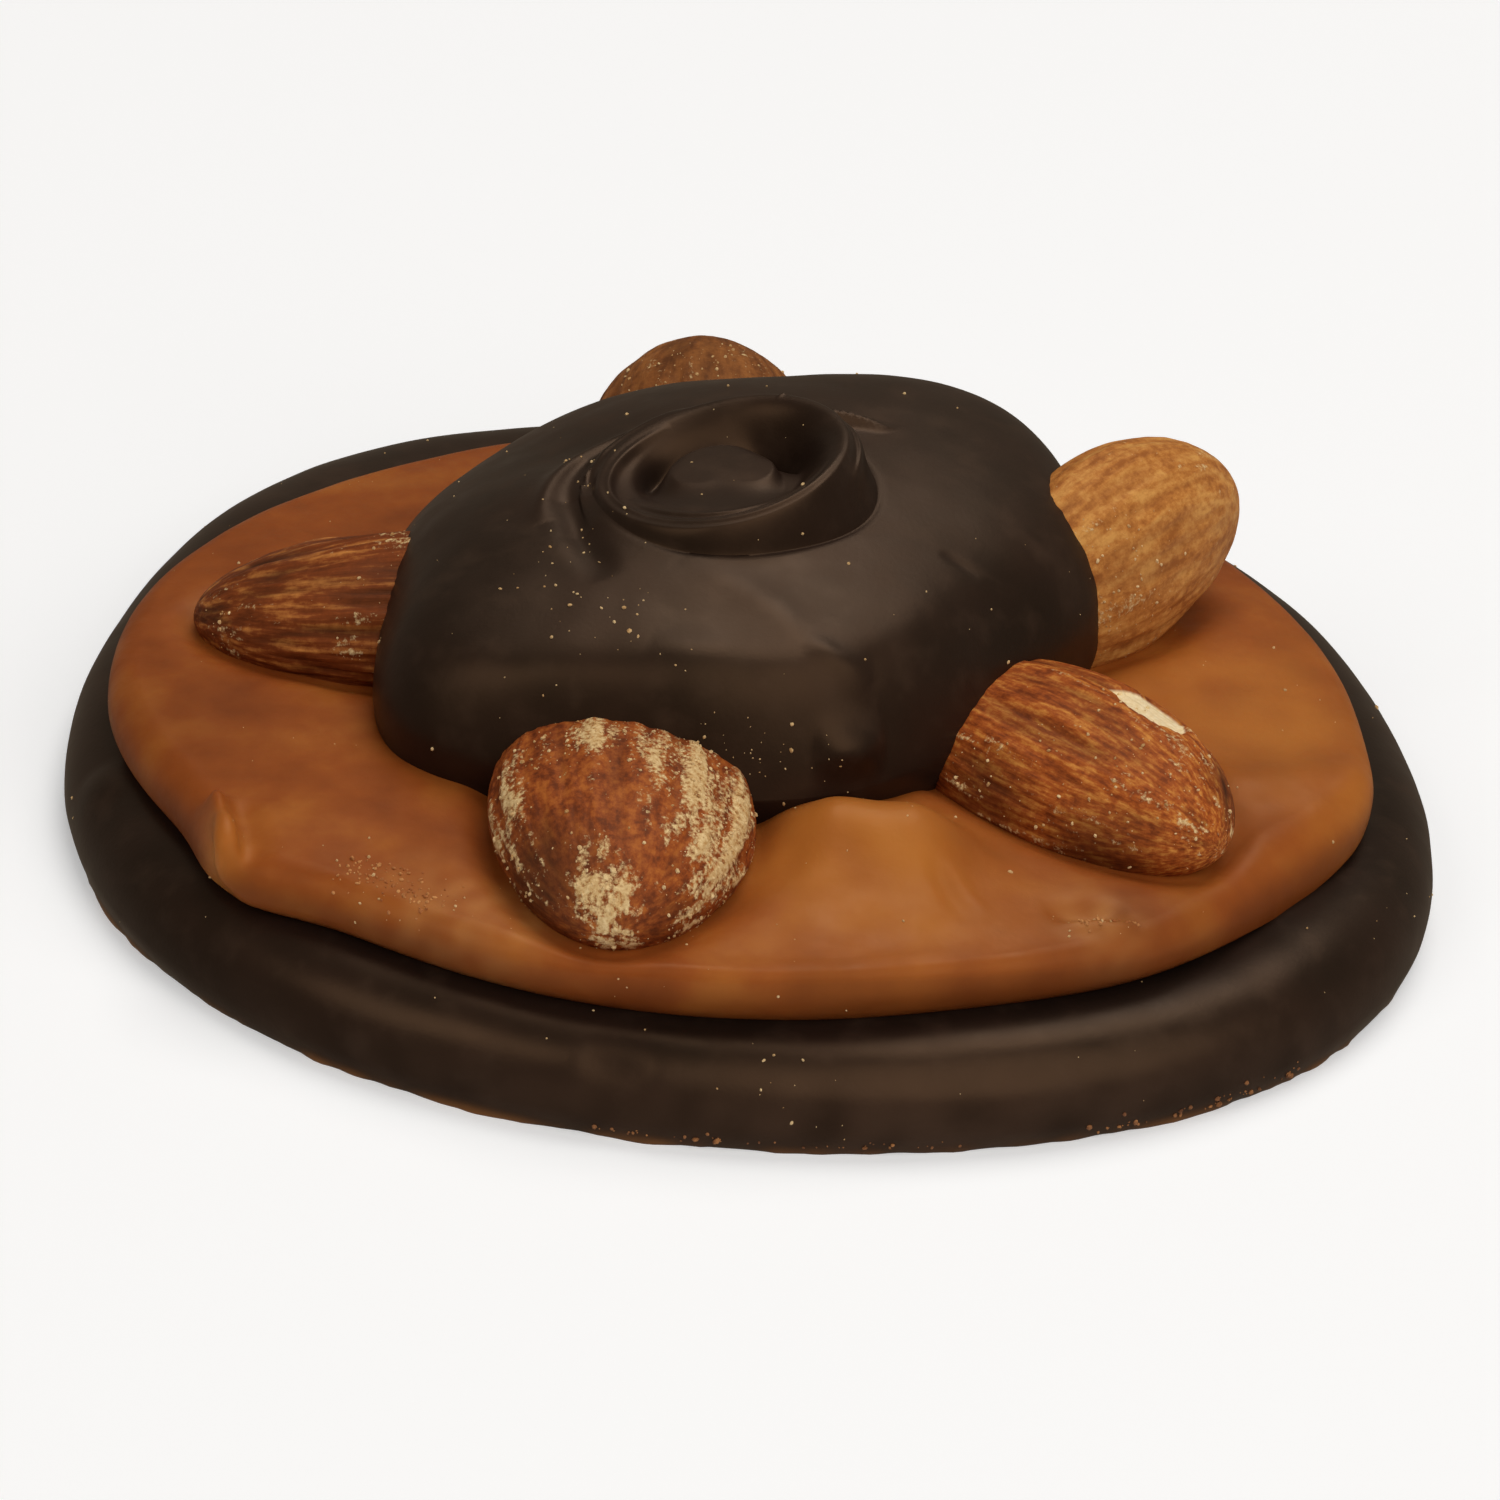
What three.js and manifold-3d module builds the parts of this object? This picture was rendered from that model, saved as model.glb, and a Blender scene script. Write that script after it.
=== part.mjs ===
// A bear paw candy: a dark chocolate disc, a poured caramel layer, five roasted almonds laid out
// like claws, and a dollop of dark chocolate with a rosette that holds them down.
// Millimetres, +Z up. The origin is the middle of the disc's underside; the front faces -Y.
import * as THREE from "three";
import Module from "manifold-3d";

const wasm = await Module();
wasm.setup();

// Driving dimensions, in millimetres and degrees
const gap = 0.3; // clearance where one piece is shaped around another

const disc = {
  center: [0, 0],
  radius: 37.45,
  thickness: 5.5,
  shoulder: 5, // how far in from the edge the top starts to round over
  roundness: 2.3, // 2 is an elliptical edge, more is squarer
  girth: 1.5, // height of the widest line
  footTuck: 0.5,
  waves: [
    { count: 1, depth: 0.27, peak: -168 },
    { count: 2, depth: 0.52, peak: -28 },
    { count: 3, depth: 0.41, peak: -15 },
    { count: 4, depth: 0.74, peak: -45 },
    { count: 5, depth: 0.29, peak: -21 },
  ],
  bulges: [],
  sides: 80,
};

const caramel = {
  center: [-0.2, -0.9],
  radius: 32.3,
  edgeHeight: 3, // from the disc up to the rim of the layer
  edgeRound: 1.5, // radius that the rim is rounded to
  rise: 0.9, // how far the middle stands above the rim
  riseRun: 6, // how far in from the rim that rise is spread
  footTuck: 0.7,
  waves: [
    { count: 1, depth: 1, peak: -112 },
    { count: 2, depth: 1.3, peak: 22 },
    { count: 3, depth: 0.3, peak: -50 },
    { count: 4, depth: 0.35, peak: -9 },
  ],
  bulges: [
    { at: -165, reach: 0.6, spread: 14 },
    { at: -137, reach: 1.9, spread: 5 },
    { at: -48, reach: 1, spread: 11 },
    { at: -14, reach: 1.2, spread: 8 },
  ],
  // Ridges that the almonds squeezed up or that folded over while the caramel set
  folds: [
    { from: [4.6, -21], to: [8.2, -21], height: 2.2, width: 2.1 },
    { from: [5.2, -24.2], to: [8, -23.6], height: 0.9, width: 3.2 },
    { from: [-26.2, -25.2], to: [-27.3, -20.9], height: 0.6, width: 0.9 },
    { from: [32.3, -7.4], to: [24, -11], height: 0.5, width: 1.4 },
  ],
  sides: 72,
};

// Each almond lies along its own X, tip at +X. Azimuth turns it about Z, pitch lifts the tip and
// roll leans it about its length.
const almonds = [
  { name: "almond_front_left", length: 21, width: 13.8, thickness: 8.2, center: [-6.7, -21.5, 10],
    azimuth: -87, pitch: -3, roll: -3, color: 0x8f5129 },
  { name: "almond_front_right", length: 21.2, width: 12.8, thickness: 7.8, center: [16.5, -11.5, 9.7],
    azimuth: -42, pitch: 0, roll: 8, color: 0x8a4a22 },
  { name: "almond_left", length: 23.5, width: 13.1, thickness: 7.9, center: [-19.1, -1.1, 10.3],
    azimuth: 182, pitch: -7, roll: 4, color: 0x6e361d },
  { name: "almond_right", length: 19.5, width: 11.6, thickness: 7.8, center: [18.8, 7.2, 13],
    azimuth: 50, pitch: 7, roll: 74, color: 0x9e602f },
  { name: "almond_back", length: 21.9, width: 13.4, thickness: 8.2, center: [-4, 18.4, 11.2],
    azimuth: 94, pitch: 8, roll: 0, color: 0x82522b },
];
const almondShape = {
  blunt: 0.5, // how fast the round end opens
  widthTaper: 0.56, // how fast the tip closes, seen from above
  thicknessTaper: 0.5, // how fast the tip closes, seen from the side
  bend: 0.3, // sideways bow of the middle
  rings: 13,
  sides: 20,
};

const dollop = {
  center: [-2.9, -1.7],
  radius: 16.9,
  crown: 20.75, // height of the top under the rosette
  slope: 0.09, // fall of the top from there outwards
  tilt: [0.05, 0.09], // rise of the top towards +X and +Y
  girth: 10.8, // height of the widest line
  footTuck: 1.2,
  footHeight: 7, // the foot runs down into the caramel before it is trimmed
  waves: [],
  bulges: [
    { at: -137, reach: 4, spread: 16 },
    { at: -80, reach: 1, spread: 26 },
    { at: 12, reach: 3.8, spread: 14 },
    { at: 45, reach: 5.8, spread: 18 },
    { at: 90, reach: 1.5, spread: 20 },
    { at: 128, reach: 2.6, spread: 24 },
    { at: 175, reach: 0.6, spread: 16 },
  ],
  roundness: 3, // of the side's profile, with squarer and rounder sides below
  sideBulges: [
    { at: 50, reach: 1.4, spread: 18 },
    { at: 145, reach: -1.15, spread: 28 },
  ],
  // At the front the top runs out from the rosette to a brow, with a steep wall below
  brow: { at: -76, spread: 48, start: 8, height: 19.4, topSlope: 0.32, wallSlope: 3.6, softness: 2.2 },
  sides: 60,
};
const rosette = {
  crestRadius: 6.15,
  crestHeight: 21.45,
  crestLean: 1.6, // the crest is this much higher on one side and lower on the other
  crestHighest: 25,
  crestBulges: [
    { at: -155, reach: 0.5, spread: 30 },
    { at: -95, reach: 0.75, spread: 45 },
    { at: 25, reach: 0.4, spread: 30 },
    { at: 112, reach: -0.6, spread: 40 },
  ],
  innerRun: 2.4, // how far the crest's inner slope runs
  footRadius: 7.1,
  footBulges: [
    { at: -100, reach: 0.5, spread: 28 },
    { at: 0, reach: 1.2, spread: 28 },
  ],
  dish: 20.2, // height of the floor inside
  dishLean: 0.14, // rise of that floor per millimetre, in the direction of the highest crest
  frontRise: 0.9, // how far the floor comes up to the front crest, from this far out
  frontStart: 1.5,
  buttonRadius: 3.1,
  buttonHeight: 0.4,
};

// Colours and finish
const chocolate = new THREE.MeshStandardMaterial({ color: 0x3e2e25, roughness: 0.45, metalness: 0 });
const toffee = new THREE.MeshStandardMaterial({ color: 0x965425, roughness: 0.4, metalness: 0 });

const turn = 2 * Math.PI;
const radians = THREE.MathUtils.degToRad;
const bell = (distance, width) => Math.exp(-0.5 * (distance / width) ** 2);

function angleBetween(a, b) {
  return Math.atan2(Math.sin(a - b), Math.cos(a - b));
}

function bulgeAt(bulges, angle) {
  const each = (b) => b.reach * bell(angleBetween(angle, radians(b.at)), radians(b.spread));
  return bulges.reduce((sum, b) => sum + each(b), 0);
}

// Radius of a piece's wavy outline in one direction
function reachAt(piece, angle) {
  const waves = piece.waves.map((w) => w.depth * Math.cos(w.count * (angle - radians(w.peak))));
  return waves.reduce((sum, wave) => sum + wave, piece.radius + bulgeAt(piece.bulges, angle));
}

// Point at a direction and distance from the middle of a piece
function polarPoint(piece, angle, radius, z) {
  const [x, y] = piece.center;
  return new THREE.Vector3(x + radius * Math.cos(angle), y + radius * Math.sin(angle), z);
}

function ring(sides, pointAt) {
  return Array.from({ length: sides }, (_, i) => pointAt((i / sides) * turn));
}

// Closed skin over rings that run from a top point down to a bottom point
function closedSkin(top, rings, bottom) {
  const sides = rings[0].length;
  const points = [top, ...rings.flat(), bottom];
  const last = points.length - 1;
  const at = (r, i) => 1 + r * sides + (i % sides);
  const index = [];
  for (let i = 0; i < sides; i++) {
    index.push(0, at(0, i), at(0, i + 1));
    for (let r = 0; r + 1 < rings.length; r++) {
      index.push(at(r, i), at(r + 1, i), at(r + 1, i + 1));
      index.push(at(r, i), at(r + 1, i + 1), at(r, i + 1));
    }
    index.push(last, at(rings.length - 1, i + 1), at(rings.length - 1, i));
  }
  const skin = new THREE.BufferGeometry().setFromPoints(points);
  skin.setIndex(index);
  skin.computeVertexNormals();
  return skin;
}

function toSolid(skin, matrix = new THREE.Matrix4()) {
  const placed = skin.clone().applyMatrix4(matrix);
  const vertProperties = new Float32Array(placed.attributes.position.array);
  const triVerts = new Uint32Array(placed.index.array);
  return new wasm.Manifold(new wasm.Mesh({ numProp: 3, vertProperties, triVerts }));
}

// The largest body of a solid, without the scraps that a cut leaves
function toSkin(solid) {
  const bodies = solid.decompose().sort((a, b) => b.volume() - a.volume());
  const mesh = bodies[0].getMesh();
  const skin = new THREE.BufferGeometry();
  skin.setAttribute("position", new THREE.BufferAttribute(mesh.vertProperties, mesh.numProp));
  skin.setIndex(new THREE.BufferAttribute(mesh.triVerts, 1));
  skin.computeVertexNormals();
  return skin;
}

// Disc with a flat top and underside and a rounded edge
function discSkin() {
  const edgeSteps = 7;
  const rings = [];
  for (let k = 0; k <= edgeSteps; k++) {
    const swing = (k / edgeSteps) * 0.5 * Math.PI;
    const out = Math.sin(swing) ** (2 / disc.roundness);
    const up = k === edgeSteps ? 0 : Math.cos(swing) ** (2 / disc.roundness);
    const z = disc.girth + (disc.thickness - disc.girth) * up;
    const inset = disc.shoulder * (1 - out);
    rings.push(ring(disc.sides, (angle) => polarPoint(disc, angle, reachAt(disc, angle) - inset, z)));
  }
  rings.push(ring(disc.sides, (angle) => polarPoint(disc, angle, reachAt(disc, angle) - disc.footTuck, 0)));
  return closedSkin(polarPoint(disc, 0, 0, disc.thickness), rings, polarPoint(disc, 0, 0, 0));
}

function foldHeight(x, y) {
  const here = new THREE.Vector3(x, y, 0);
  const nearest = new THREE.Vector3();
  return caramel.folds.reduce((sum, fold) => {
    const crest = new THREE.Line3(new THREE.Vector3(...fold.from, 0), new THREE.Vector3(...fold.to, 0));
    const distance = crest.closestPointToPoint(here, true, nearest).distanceTo(here);
    return sum + fold.height * bell(distance, fold.width);
  }, 0);
}

// Caramel layer, or the same layer grown all round by a clearance
function caramelSkin(grow = 0) {
  const topSteps = 9;
  const rimSteps = 4;
  const innerShare = 0.35; // the first ring is this far out
  const rim = disc.thickness + caramel.edgeHeight;
  const topPoint = (angle, radius, inset, drop) => {
    const point = polarPoint(caramel, angle, radius + grow, rim + grow - drop);
    point.z += caramel.rise * (1 - Math.exp(-inset / caramel.riseRun)) + foldHeight(point.x, point.y);
    return point;
  };
  const rings = [];
  for (let k = 0; k <= topSteps; k++) {
    const share = innerShare + (1 - innerShare) * (k / topSteps);
    rings.push(ring(caramel.sides, (angle) => {
      const flat = reachAt(caramel, angle) - caramel.edgeRound;
      return topPoint(angle, flat * share, flat * (1 - share), 0);
    }));
  }
  for (let k = 1; k <= rimSteps; k++) {
    const swing = (k / rimSteps) * 0.5 * Math.PI;
    const inset = caramel.edgeRound * (1 - Math.sin(swing));
    const drop = caramel.edgeRound * (1 - Math.cos(swing));
    rings.push(ring(caramel.sides, (angle) => topPoint(angle, reachAt(caramel, angle) - inset, 0, drop)));
  }
  rings.push(ring(caramel.sides, (angle) => {
    return polarPoint(caramel, angle, reachAt(caramel, angle) + grow - caramel.footTuck, disc.thickness);
  }));
  const top = topPoint(0, -grow, caramel.radius, 0);
  return closedSkin(top, rings, polarPoint(caramel, 0, 0, disc.thickness));
}

// Almond along X, round end at -X and tip at +X
function almondSkin(almond, grow = 0) {
  const { blunt, widthTaper, thicknessTaper, bend, rings, sides } = almondShape;
  const swell = (t, taper) => {
    const widest = blunt / (blunt + taper);
    const form = (s) => s ** blunt * (1 - s) ** taper;
    return form(t) / form(widest);
  };
  const length = almond.length + 2 * grow;
  const sections = [];
  for (let k = rings; k >= 1; k--) {
    const t = 0.5 * (1 - Math.cos((k / (rings + 1)) * Math.PI));
    const halfWidth = (0.5 * almond.width + grow) * swell(t, widthTaper);
    const halfThickness = (0.5 * almond.thickness + grow) * swell(t, thicknessTaper);
    const bow = bend * Math.sin(t * Math.PI);
    sections.push(ring(sides, (angle) => new THREE.Vector3(
      length * (t - 0.5),
      bow + halfWidth * Math.cos(angle),
      halfThickness * Math.sin(angle),
    )));
  }
  return closedSkin(new THREE.Vector3(length / 2, 0, 0), sections, new THREE.Vector3(-length / 2, 0, 0));
}

function placeAlmond(object, almond) {
  object.position.set(...almond.center);
  object.rotation.set(radians(almond.roll), radians(-almond.pitch), radians(almond.azimuth), "ZYX");
  object.updateMatrix();
  return object;
}

// How far out the rosette's crest lies, and the foot of its outer wall
function crestAt(angle) {
  return rosette.crestRadius + bulgeAt(rosette.crestBulges, angle);
}

function rosetteFoot(angle) {
  return rosette.footRadius + bulgeAt(rosette.footBulges, angle);
}

// Height of the rosette: a leaning ring with a steep outer wall, around a dish with a button in it
function rosetteHeight(radius, angle, plain) {
  const { crestRadius, crestHeight, crestLean, crestHighest, innerRun } = rosette;
  const towards = Math.cos(angle - radians(crestHighest));
  const crest = crestHeight + crestLean * towards;
  const past = radius - crestAt(angle);
  if (past > 0) {
    const share = Math.min(1, past / (rosetteFoot(angle) - crestAt(angle)));
    return plain + (crest - plain) * Math.sqrt(1 - share ** 2);
  }
  const forward = THREE.MathUtils.smoothstep(-radius * Math.sin(angle), rosette.frontStart, crestRadius);
  const button = radius <= rosette.buttonRadius ? rosette.buttonHeight : 0;
  const floor = rosette.dish + rosette.dishLean * radius * towards + rosette.frontRise * forward + button;
  const share = Math.min(1, -past / innerRun);
  return floor + (crest - floor) * (1 - share ** 3) ** 2;
}

// Height of the dollop without the rosette: rounded all round, with the brow at the front
function dollopHeight(radius, angle) {
  const reach = reachAt(dollop, angle);
  const lean = dollop.tilt[0] * Math.cos(angle) + dollop.tilt[1] * Math.sin(angle) - dollop.slope;
  const roundness = dollop.roundness + bulgeAt(dollop.sideBulges, angle);
  const share = Math.min(1, radius / reach);
  const height = dollop.crown + lean * radius - dollop.girth;
  const rounded = dollop.girth + height * (1 - share ** roundness) ** (1 / roundness);
  const { at, spread, start, height: top, topSlope, wallSlope, softness } = dollop.brow;
  const roof = top - topSlope * (radius - start);
  const wall = dollop.girth + wallSlope * (reach - radius);
  const browed = roof - softness * Math.log(1 + Math.exp((roof - wall) / softness));
  return rounded + (browed - rounded) * bell(angleBetween(angle, radians(at)), radians(spread));
}

// Dollop before it is trimmed to the almonds and the caramel
function dollopSkin() {
  const { buttonRadius } = rosette;
  const buttonSteps = [1.8, buttonRadius, buttonRadius + 0.4];
  const innerSteps = [0.3, 0.6, 0.85, 1]; // shares of the way from there to the crest
  const wallSteps = [0.4, 0.75, 0.94, 1];
  const sideSteps = 9;
  const topPoint = (angle, radius) => {
    return polarPoint(dollop, angle, radius, rosetteHeight(radius, angle, dollopHeight(radius, angle)));
  };
  const footPoint = (angle, share) => {
    const radius = reachAt(dollop, angle) - dollop.footTuck * share ** 2;
    return polarPoint(dollop, angle, radius, dollop.girth + (dollop.footHeight - dollop.girth) * share);
  };
  const ringBetween = (innerAt, outerAt, share) => ring(dollop.sides, (angle) => {
    return topPoint(angle, innerAt(angle) + (outerAt(angle) - innerAt(angle)) * share);
  });
  const buttonEdge = () => buttonSteps.at(-1);
  const outline = (angle) => reachAt(dollop, angle);
  const rings = [
    ...buttonSteps.map((radius) => ring(dollop.sides, (angle) => topPoint(angle, radius))),
    ...innerSteps.map((share) => ringBetween(buttonEdge, crestAt, share)),
    ...wallSteps.map((share) => ringBetween(crestAt, rosetteFoot, share)),
  ];
  for (let k = 1; k <= sideSteps; k++) {
    rings.push(ringBetween(rosetteFoot, outline, Math.sin((k / sideSteps) * 0.5 * Math.PI)));
  }
  for (const share of [0.5, 1]) {
    rings.push(ring(dollop.sides, (angle) => footPoint(angle, share)));
  }
  return closedSkin(topPoint(0, 0), rings, polarPoint(dollop, 0, 0, dollop.footHeight));
}

function named(name, geometry, material) {
  const mesh = new THREE.Mesh(geometry, material);
  mesh.name = name;
  return mesh;
}

const almondMeshes = almonds.map((almond) => {
  const skin = new THREE.MeshStandardMaterial({ color: almond.color, roughness: 0.6, metalness: 0 });
  return placeAlmond(named(almond.name, almondSkin(almond), skin), almond);
});
const almondRoom = almonds
  .map((almond, i) => toSolid(almondSkin(almond, gap), almondMeshes[i].matrix))
  .reduce((all, room) => all.add(room));
const caramelBed = toSolid(caramelSkin()).subtract(almondRoom);
const cap = toSolid(dollopSkin()).subtract(toSolid(caramelSkin(gap))).subtract(almondRoom);

const bearPaw = new THREE.Group();
bearPaw.add(
  named("chocolate_disc", discSkin(), chocolate),
  named("caramel_layer", toSkin(caramelBed), toffee),
  named("chocolate_dollop", toSkin(cap), chocolate),
  ...almondMeshes,
);

export default bearPaw;
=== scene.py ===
# Bear paw candy: a dark chocolate disc, poured caramel, five roasted almonds and a chocolate dollop.
# The dictionaries hold millimetres and degrees; the meshes are in metres, +Z up, with the front at -Y.
import math
from functools import partial

import bmesh
import bpy
import numpy as np
from mathutils import Matrix, Vector, kdtree, noise


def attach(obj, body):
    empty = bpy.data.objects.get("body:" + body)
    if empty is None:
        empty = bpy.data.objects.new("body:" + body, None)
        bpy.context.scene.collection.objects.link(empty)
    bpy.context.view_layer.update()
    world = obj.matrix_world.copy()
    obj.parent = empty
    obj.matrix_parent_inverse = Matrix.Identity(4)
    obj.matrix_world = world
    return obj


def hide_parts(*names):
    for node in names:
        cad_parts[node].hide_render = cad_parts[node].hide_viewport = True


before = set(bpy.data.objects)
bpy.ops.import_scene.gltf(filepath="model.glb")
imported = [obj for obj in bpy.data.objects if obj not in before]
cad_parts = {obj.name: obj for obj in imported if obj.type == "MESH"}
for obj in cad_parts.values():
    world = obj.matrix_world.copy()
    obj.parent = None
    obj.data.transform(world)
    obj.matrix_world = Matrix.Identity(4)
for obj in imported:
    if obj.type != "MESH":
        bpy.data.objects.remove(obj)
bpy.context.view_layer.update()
scene = bpy.context.scene
mm = 0.001
turn = 2 * math.pi
print("frame:", len(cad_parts), "nodes")


# Camera at the photo's viewing angle, looking down on the candy from the front
cameraSetup = {
    "target": (-0.195, -0.874, 3.35),
    "elevation": 29,
    "roll": 5,
    "distance": 350,
    "pixelsPerMm": 18.34,  # at the target, in an image of imageSide pixels
    "imageSide": 1500,
    "sensor": 36,
}


def makeCamera(setup):
    elevation, roll = math.radians(setup["elevation"]), math.radians(setup["roll"])
    forward = Vector((0, math.cos(elevation), -math.sin(elevation)))
    level = Vector((1, 0, 0))
    above = level.cross(forward)
    right = math.cos(roll) * level + math.sin(roll) * above
    up = right.cross(forward)
    data = bpy.data.cameras.new("camera")
    data.sensor_width = setup["sensor"]
    data.lens = setup["sensor"] * setup["pixelsPerMm"] * setup["distance"] / setup["imageSide"]
    camera = bpy.data.objects.new("camera", data)
    camera.matrix_world = Matrix((right, up, -forward)).transposed().to_4x4()
    camera.location = (Vector(setup["target"]) - setup["distance"] * forward) * mm
    scene.collection.objects.link(camera)
    scene.camera = camera


makeCamera(cameraSetup)
print("camera set")


# Small helpers for colours, nodes, meshes and noise

def hexColor(code):
    channels = [int(code[i:i + 2], 16) / 255 for i in (0, 2, 4)]
    linear = [c / 12.92 if c <= 0.04045 else ((c + 0.055) / 1.055) ** 2.4 for c in channels]
    return (*linear, 1.0)


# Kinds without Node in their name are shader nodes. Links are by name or in the sockets' order, and a node
# given as a link stands for its first output; stops are for a colour ramp.
def addNode(tree, kind, links=(), stops=(), **settings):
    node = tree.nodes.new(kind if "Node" in kind else "ShaderNode" + kind)
    for name, value in settings.items():
        setattr(node, name, value)
    for socket, value in links.items() if isinstance(links, dict) else enumerate(links):
        if isinstance(value, bpy.types.Node):
            value = value.outputs[0]
        if isinstance(value, bpy.types.NodeSocket):
            tree.links.new(value, node.inputs[socket])
        else:
            node.inputs[socket].default_value = value
    for i, (place, color) in enumerate(stops):
        elements = node.color_ramp.elements
        element = elements[i] if i < 2 else elements.new(place)
        element.position = place
        element.color = hexColor(color)
    return node


def newMaterial(name):
    material = bpy.data.materials.new(name)
    material.use_nodes = True
    material.node_tree.nodes.clear()
    return material, partial(addNode, material.node_tree)


def finishMaterial(add, sockets):
    shader = add("BsdfPrincipled", sockets)
    add("OutputMaterial", [shader])


# Tints laid over a colour, each as strong as the mesh's point values of that name
def tinted(add, color, tints):
    for label, code in tints.items():
        share = add("Attribute", attribute_name=label).outputs["Fac"]
        mixed = add("Mix", {0: share, 6: color, 7: hexColor(code)}, data_type="RGBA")
        color = mixed.outputs[2]
    return color


def newTree(name, sockets):
    tree = bpy.data.node_groups.new(name, "GeometryNodeTree")
    for kind, labels in sockets.items():
        for label in labels:
            tree.interface.new_socket(label, in_out="INPUT", socket_type="NodeSocket" + kind)
    tree.interface.new_socket("Geometry", in_out="OUTPUT", socket_type="NodeSocketGeometry")
    add = partial(addNode, tree)
    return tree, add, add("NodeGroupInput").outputs


def finishTree(add, geometry, material):
    realized = add("GeometryNodeRealizeInstances", [geometry])
    dressed = add("GeometryNodeSetMaterial", {"Geometry": realized, "Material": material})
    add("NodeGroupOutput", [dressed])


def bell(distance, width):
    return np.exp(-0.5 * (distance / width) ** 2)


def smoothStep(low, high, value):
    share = np.clip((value - low) / (high - low), 0, 1)
    return share * share * (3 - 2 * share)


# Even steps from just past zero up to the end
def steps(count, end=1):
    return np.linspace(0, end, count + 1)[1:]


def anglesAround(piece):
    return np.arange(piece["sides"]) / piece["sides"] * turn


def angleBetween(a, b):
    return np.arctan2(np.sin(a - b), np.cos(a - b))


# Bulges around a piece: direction, reach, spread
def bulgeAt(bulges, angle):
    return sum(reach * bell(angleBetween(angle, math.radians(at)), math.radians(spread))
               for at, reach, spread in bulges)


# Radius of a piece's wavy outline in each direction
def reachAt(piece, angle):
    waves = sum(depth * np.cos(count * (angle - math.radians(peak)))
                for count, depth, peak in piece["waves"])
    return piece["radius"] + waves + bulgeAt(piece["bulges"], angle)


def polarRing(piece, angle, radius, height):
    x, y = piece["center"]
    ring = np.empty((len(angle), 3))
    ring[:, 0] = x + radius * np.cos(angle)
    ring[:, 1] = y + radius * np.sin(angle)
    ring[:, 2] = height
    return ring


# Smooth noise between about -1 and 1, with lumps one size apart
def lumps(points, size, seed):
    shift = Vector((17.3, 9.1, 4.7)) * seed
    return np.array([noise.noise(Vector(p) / size + shift) for p in points])


# Sum of noises: height, size, seed
def unevenAt(points, noises, mean=0):
    return sum((height * lumps(points, size, seed) for height, size, seed in noises), mean)


# Patchy share between 0 and 1
def patchyShare(points, mean, spread, size, seed):
    return np.clip(mean + spread * lumps(points, size, seed), 0, 1)


# Soft round patches seen from above: place, spread, share
def patchesAt(points, patches):
    return [share * bell(np.linalg.norm(points[:, :2] - place, axis=1), spread)
            for place, spread, share in patches]


# Ridges or grooves along chains of points: chain, height, width. Tapered ones run out at both ends.
def ridgeHeight(points, ridges, tapered=False):
    total = np.zeros(len(points))
    for chain, height, width in ridges:
        chain = np.array(chain, float)
        here = points[:, :chain.shape[1]]
        nearest, along = np.full(len(here), np.inf), np.zeros(len(here))
        for i, (a, b) in enumerate(zip(chain, chain[1:])):
            run = b - a
            share = np.clip((here - a) @ run / (run @ run), 0, 1)
            distance = np.linalg.norm(here - a - share[:, None] * run, axis=1)
            along = np.where(distance < nearest, (i + share) / (len(chain) - 1), along)
            nearest = np.minimum(distance, nearest)
        crest = height * 4 * along * (1 - along) if tapered else height
        total += crest * bell(nearest, width)
    return total


# Closed skin over rings that run from a top point down to a bottom point
def skinOverRings(name, top, rings, bottom):
    sides = len(rings[0])
    points = np.vstack([[top], *rings, [bottom]])
    here = 1 + np.arange(len(rings))[:, None] * sides + np.arange(sides)
    beside = np.roll(here, -1, axis=1)
    quads = np.stack([here[:-1], here[1:], beside[1:], beside[:-1]], axis=-1).reshape(-1, 4)
    cap = np.stack([np.zeros(sides, int), here[0], beside[0]], axis=-1)
    base = np.stack([np.full(sides, len(points) - 1), beside[-1], here[-1]], axis=-1)
    mesh = bpy.data.meshes.new(name)
    mesh.from_pydata((points * mm).tolist(), [], quads.tolist() + cap.tolist() + base.tolist())
    mesh.polygons.foreach_set("use_smooth", np.ones(len(mesh.polygons), bool))
    mesh.update()
    return mesh


def vectorsOf(items, name):
    values = np.empty(len(items) * 3)
    items.foreach_get(name, values)
    return values.reshape(-1, 3)


def pointsOf(mesh):
    return vectorsOf(mesh.vertices, "co") / mm


def setPoints(mesh, points):
    mesh.vertices.foreach_set("co", (points * mm).ravel())
    mesh.update()


# Moves every point along its own normal by a height in millimetres
def pushOut(mesh, heights):
    setPoints(mesh, pointsOf(mesh) + vectorsOf(mesh.vertices, "normal") * heights[:, None])


def pointValues(mesh, name, values):
    old = mesh.attributes.get(name)
    if old:
        mesh.attributes.remove(old)
    mesh.attributes.new(name, "FLOAT", "POINT").data.foreach_set("value", values.astype(np.float32))


def addPiece(mesh, material=None):
    if material:
        mesh.materials.append(material)
    piece = bpy.data.objects.new(mesh.name, mesh)
    scene.collection.objects.link(piece)
    return piece


# Runs a node tree on a mesh and keeps the result as a plain mesh
def meshFromNodes(name, tree, values, ground=None):
    holder = bpy.data.objects.new(name + "Nodes", ground or bpy.data.meshes.new(name + "Nodes"))
    scene.collection.objects.link(holder)
    modifier = holder.modifiers.new("nodes", "NODES")
    modifier.node_group = tree
    sockets = {item.name: item.identifier for item in tree.interface.items_tree if item.in_out == "INPUT"}
    for label, value in values.items():
        modifier[sockets[label]] = value
    bpy.context.view_layer.update()
    depsgraph = bpy.context.evaluated_depsgraph_get()
    made = bpy.data.meshes.new_from_object(
        holder.evaluated_get(depsgraph), preserve_all_data_layers=True, depsgraph=depsgraph)
    bpy.data.objects.remove(holder)
    made.name = name
    return made


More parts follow.
